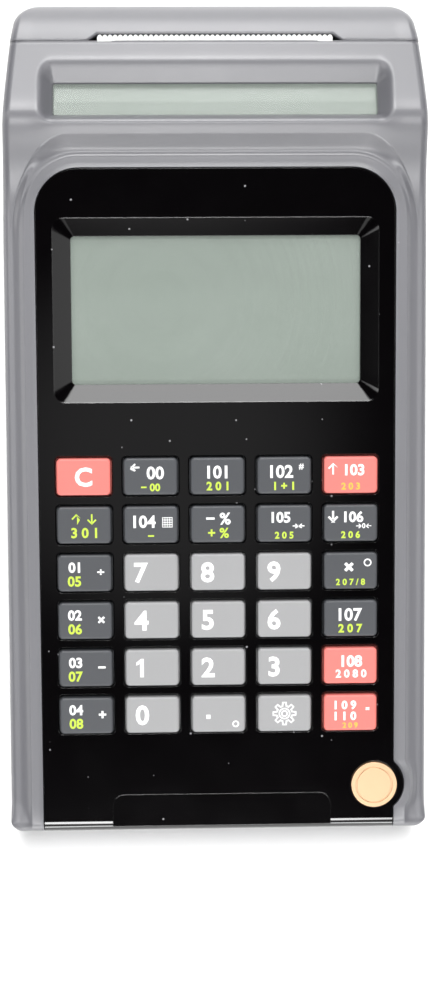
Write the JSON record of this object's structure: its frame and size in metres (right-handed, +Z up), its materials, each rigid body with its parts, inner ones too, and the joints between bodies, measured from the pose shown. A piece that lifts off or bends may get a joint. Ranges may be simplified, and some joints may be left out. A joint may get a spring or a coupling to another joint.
{
  "type": "ticket register",
  "caption": "Portable ticket register: sloped keyboard panel with operator display, raised rear hump with customer display, and a hinged lid over a receipt printer.",
  "frame": {"origin": "centre of the footprint, on the surface that the feet stand on", "axes": "+X to the operator's right, +Y from the keyboard's front edge to the paper lid at the rear, +Z up"},
  "size_m": [0.106, 0.206, 0.0674],
  "materials": {
    "case_grey": "satin moulded",
    "black_gloss": "gloss",
    "window_clear": "clear",
    "display_grey": "reflective display",
    "silicone": "matte",
    "board_green": "solder mask",
    "steel": "plain",
    "cutter_white": "satin",
    "platen_rubber": "ground",
    "gear_plastic": "moulded",
    "brass": "turned",
    "head_aluminium": "plain",
    "battery_wrap": "shrink wrap",
    "foot_rubber": "matte",
    "socket_black": "moulded",
    "key_red": "satin",
    "key_light": "satin",
    "key_dark": "satin"
  },
  "bodies": {
    "register": {"lower_case": "case_grey", "upper_case": "case_grey", "front_panel": "black_gloss", "display_window": "window_clear", "display_module": "display_grey", "customer_window": "window_clear", "customer_display": "display_grey", "keypad_mat": "silicone", "keypad_board": "board_green", "lid_hinge_pin": "steel", "tear_bar": "cutter_white", "feed_motor": "steel", "printer_frame": "steel", "thermal_head": "head_aluminium", "head_springs": "steel", "main_board": "board_green", "battery_pack": "battery_wrap", "battery_door": "case_grey", "fiscal_seal": "brass", "case_screws": "steel", "rubber_feet": "foot_rubber", "paper_bay": "case_grey", "side_sockets": "socket_black"},
    "lid": {"paper_lid": "case_grey", "platen_bushes": "gear_plastic"},
    "platen": {"platen_roller": "platen_rubber", "platen_shaft": "steel", "platen_gear": "gear_plastic"},
    "idler": {"idler_gear": "gear_plastic"},
    "pinion": {"motor_pinion": "brass"},
    "key_clear_cap": {"key_clear": "key_red"},
    "key_back_cap": {"key_back": "key_dark"},
    "key_inquiry_cap": {"key_inquiry": "key_dark"},
    "key_table_cap": {"key_table": "key_dark"},
    "key_cashier_cap": {"key_cashier": "key_red"},
    "key_shift_cap": {"key_shift": "key_dark"},
    "key_lookup_cap": {"key_lookup": "key_dark"},
    "key_percent_cap": {"key_percent": "key_dark"},
    "key_refund_cap": {"key_refund": "key_dark"},
    "key_price_cap": {"key_price": "key_dark"},
    "key_department_1_cap": {"key_department_1": "key_dark"},
    "key_7_cap": {"key_7": "key_light"},
    "key_8_cap": {"key_8": "key_light"},
    "key_9_cap": {"key_9": "key_light"},
    "key_multiply_cap": {"key_multiply": "key_dark"},
    "key_department_2_cap": {"key_department_2": "key_dark"},
    "key_4_cap": {"key_4": "key_light"},
    "key_5_cap": {"key_5": "key_light"},
    "key_6_cap": {"key_6": "key_light"},
    "key_card_cap": {"key_card": "key_dark"},
    "key_department_3_cap": {"key_department_3": "key_dark"},
    "key_1_cap": {"key_1": "key_light"},
    "key_2_cap": {"key_2": "key_light"},
    "key_3_cap": {"key_3": "key_light"},
    "key_subtotal_cap": {"key_subtotal": "key_red"},
    "key_department_4_cap": {"key_department_4": "key_dark"},
    "key_0_cap": {"key_0": "key_light"},
    "key_point_cap": {"key_point": "key_light"},
    "key_function_cap": {"key_function": "key_light"},
    "key_total_cap": {"key_total": "key_red"}
  },
  "joints": [
    {"name": "lid_hinge", "type": "hinge", "parent": "register", "child": "lid", "pos_m": [0, 0.1004, 0.0195], "axis": [-1, 0, 0], "range_deg": [0, 95]},
    {"name": "platen_spin", "type": "hinge", "parent": "lid", "child": "platen", "pos_m": [0, 0.0932, 0.05441], "axis": [1, 0, 0], "continuous": true},
    {"name": "idler_spin", "type": "hinge", "parent": "register", "child": "idler", "pos_m": [0.03295, 0.08337, 0.05238], "axis": [1, 0, 0], "continuous": true},
    {"name": "pinion_spin", "type": "hinge", "parent": "register", "child": "pinion", "pos_m": [0.03295, 0.07662, 0.04564], "axis": [1, 0, 0], "continuous": true},
    {"name": "key_clear_press", "type": "slide", "parent": "register", "child": "key_clear_cap", "axis": [0, 0.2079, -0.9781], "range_m": [0, 0.0013], "stiffness_N_per_m": 400, "springref_m": -0.0005},
    {"name": "key_back_press", "type": "slide", "parent": "register", "child": "key_back_cap", "axis": [0, 0.2079, -0.9781], "range_m": [0, 0.0013], "stiffness_N_per_m": 400, "springref_m": -0.0005},
    {"name": "key_inquiry_press", "type": "slide", "parent": "register", "child": "key_inquiry_cap", "axis": [0, 0.2079, -0.9781], "range_m": [0, 0.0013], "stiffness_N_per_m": 400, "springref_m": -0.0005},
    {"name": "key_table_press", "type": "slide", "parent": "register", "child": "key_table_cap", "axis": [0, 0.2079, -0.9781], "range_m": [0, 0.0013], "stiffness_N_per_m": 400, "springref_m": -0.0005},
    {"name": "key_cashier_press", "type": "slide", "parent": "register", "child": "key_cashier_cap", "axis": [0, 0.2079, -0.9781], "range_m": [0, 0.0013], "stiffness_N_per_m": 400, "springref_m": -0.0005},
    {"name": "key_shift_press", "type": "slide", "parent": "register", "child": "key_shift_cap", "axis": [0, 0.2079, -0.9781], "range_m": [0, 0.0013], "stiffness_N_per_m": 400, "springref_m": -0.0005},
    {"name": "key_lookup_press", "type": "slide", "parent": "register", "child": "key_lookup_cap", "axis": [0, 0.2079, -0.9781], "range_m": [0, 0.0013], "stiffness_N_per_m": 400, "springref_m": -0.0005},
    {"name": "key_percent_press", "type": "slide", "parent": "register", "child": "key_percent_cap", "axis": [0, 0.2079, -0.9781], "range_m": [0, 0.0013], "stiffness_N_per_m": 400, "springref_m": -0.0005},
    {"name": "key_refund_press", "type": "slide", "parent": "register", "child": "key_refund_cap", "axis": [0, 0.2079, -0.9781], "range_m": [0, 0.0013], "stiffness_N_per_m": 400, "springref_m": -0.0005},
    {"name": "key_price_press", "type": "slide", "parent": "register", "child": "key_price_cap", "axis": [0, 0.2079, -0.9781], "range_m": [0, 0.0013], "stiffness_N_per_m": 400, "springref_m": -0.0005},
    {"name": "key_department_1_press", "type": "slide", "parent": "register", "child": "key_department_1_cap", "axis": [0, 0.2079, -0.9781], "range_m": [0, 0.0013], "stiffness_N_per_m": 400, "springref_m": -0.0005},
    {"name": "key_7_press", "type": "slide", "parent": "register", "child": "key_7_cap", "axis": [0, 0.2079, -0.9781], "range_m": [0, 0.0013], "stiffness_N_per_m": 400, "springref_m": -0.0005},
    {"name": "key_8_press", "type": "slide", "parent": "register", "child": "key_8_cap", "axis": [0, 0.2079, -0.9781], "range_m": [0, 0.0013], "stiffness_N_per_m": 400, "springref_m": -0.0005},
    {"name": "key_9_press", "type": "slide", "parent": "register", "child": "key_9_cap", "axis": [0, 0.2079, -0.9781], "range_m": [0, 0.0013], "stiffness_N_per_m": 400, "springref_m": -0.0005},
    {"name": "key_multiply_press", "type": "slide", "parent": "register", "child": "key_multiply_cap", "axis": [0, 0.2079, -0.9781], "range_m": [0, 0.0013], "stiffness_N_per_m": 400, "springref_m": -0.0005},
    {"name": "key_department_2_press", "type": "slide", "parent": "register", "child": "key_department_2_cap", "axis": [0, 0.2079, -0.9781], "range_m": [0, 0.0013], "stiffness_N_per_m": 400, "springref_m": -0.0005},
    {"name": "key_4_press", "type": "slide", "parent": "register", "child": "key_4_cap", "axis": [0, 0.2079, -0.9781], "range_m": [0, 0.0013], "stiffness_N_per_m": 400, "springref_m": -0.0005},
    {"name": "key_5_press", "type": "slide", "parent": "register", "child": "key_5_cap", "axis": [0, 0.2079, -0.9781], "range_m": [0, 0.0013], "stiffness_N_per_m": 400, "springref_m": -0.0005},
    {"name": "key_6_press", "type": "slide", "parent": "register", "child": "key_6_cap", "axis": [0, 0.2079, -0.9781], "range_m": [0, 0.0013], "stiffness_N_per_m": 400, "springref_m": -0.0005},
    {"name": "key_card_press", "type": "slide", "parent": "register", "child": "key_card_cap", "axis": [0, 0.2079, -0.9781], "range_m": [0, 0.0013], "stiffness_N_per_m": 400, "springref_m": -0.0005},
    {"name": "key_department_3_press", "type": "slide", "parent": "register", "child": "key_department_3_cap", "axis": [0, 0.2079, -0.9781], "range_m": [0, 0.0013], "stiffness_N_per_m": 400, "springref_m": -0.0005},
    {"name": "key_1_press", "type": "slide", "parent": "register", "child": "key_1_cap", "axis": [0, 0.2079, -0.9781], "range_m": [0, 0.0013], "stiffness_N_per_m": 400, "springref_m": -0.0005},
    {"name": "key_2_press", "type": "slide", "parent": "register", "child": "key_2_cap", "axis": [0, 0.2079, -0.9781], "range_m": [0, 0.0013], "stiffness_N_per_m": 400, "springref_m": -0.0005},
    {"name": "key_3_press", "type": "slide", "parent": "register", "child": "key_3_cap", "axis": [0, 0.2079, -0.9781], "range_m": [0, 0.0013], "stiffness_N_per_m": 400, "springref_m": -0.0005},
    {"name": "key_subtotal_press", "type": "slide", "parent": "register", "child": "key_subtotal_cap", "axis": [0, 0.2079, -0.9781], "range_m": [0, 0.0013], "stiffness_N_per_m": 400, "springref_m": -0.0005},
    {"name": "key_department_4_press", "type": "slide", "parent": "register", "child": "key_department_4_cap", "axis": [0, 0.2079, -0.9781], "range_m": [0, 0.0013], "stiffness_N_per_m": 400, "springref_m": -0.0005},
    {"name": "key_0_press", "type": "slide", "parent": "register", "child": "key_0_cap", "axis": [0, 0.2079, -0.9781], "range_m": [0, 0.0013], "stiffness_N_per_m": 400, "springref_m": -0.0005},
    {"name": "key_point_press", "type": "slide", "parent": "register", "child": "key_point_cap", "axis": [0, 0.2079, -0.9781], "range_m": [0, 0.0013], "stiffness_N_per_m": 400, "springref_m": -0.0005},
    {"name": "key_function_press", "type": "slide", "parent": "register", "child": "key_function_cap", "axis": [0, 0.2079, -0.9781], "range_m": [0, 0.0013], "stiffness_N_per_m": 400, "springref_m": -0.0005},
    {"name": "key_total_press", "type": "slide", "parent": "register", "child": "key_total_cap", "axis": [0, 0.2079, -0.9781], "range_m": [0, 0.0013], "stiffness_N_per_m": 400, "springref_m": -0.0005}
  ],
  "couplings": [
    {"joint": "idler_spin", "follows": "platen_spin", "ratio": -0.66667},
    {"joint": "pinion_spin", "follows": "platen_spin", "ratio": 1.1429}
  ]
}
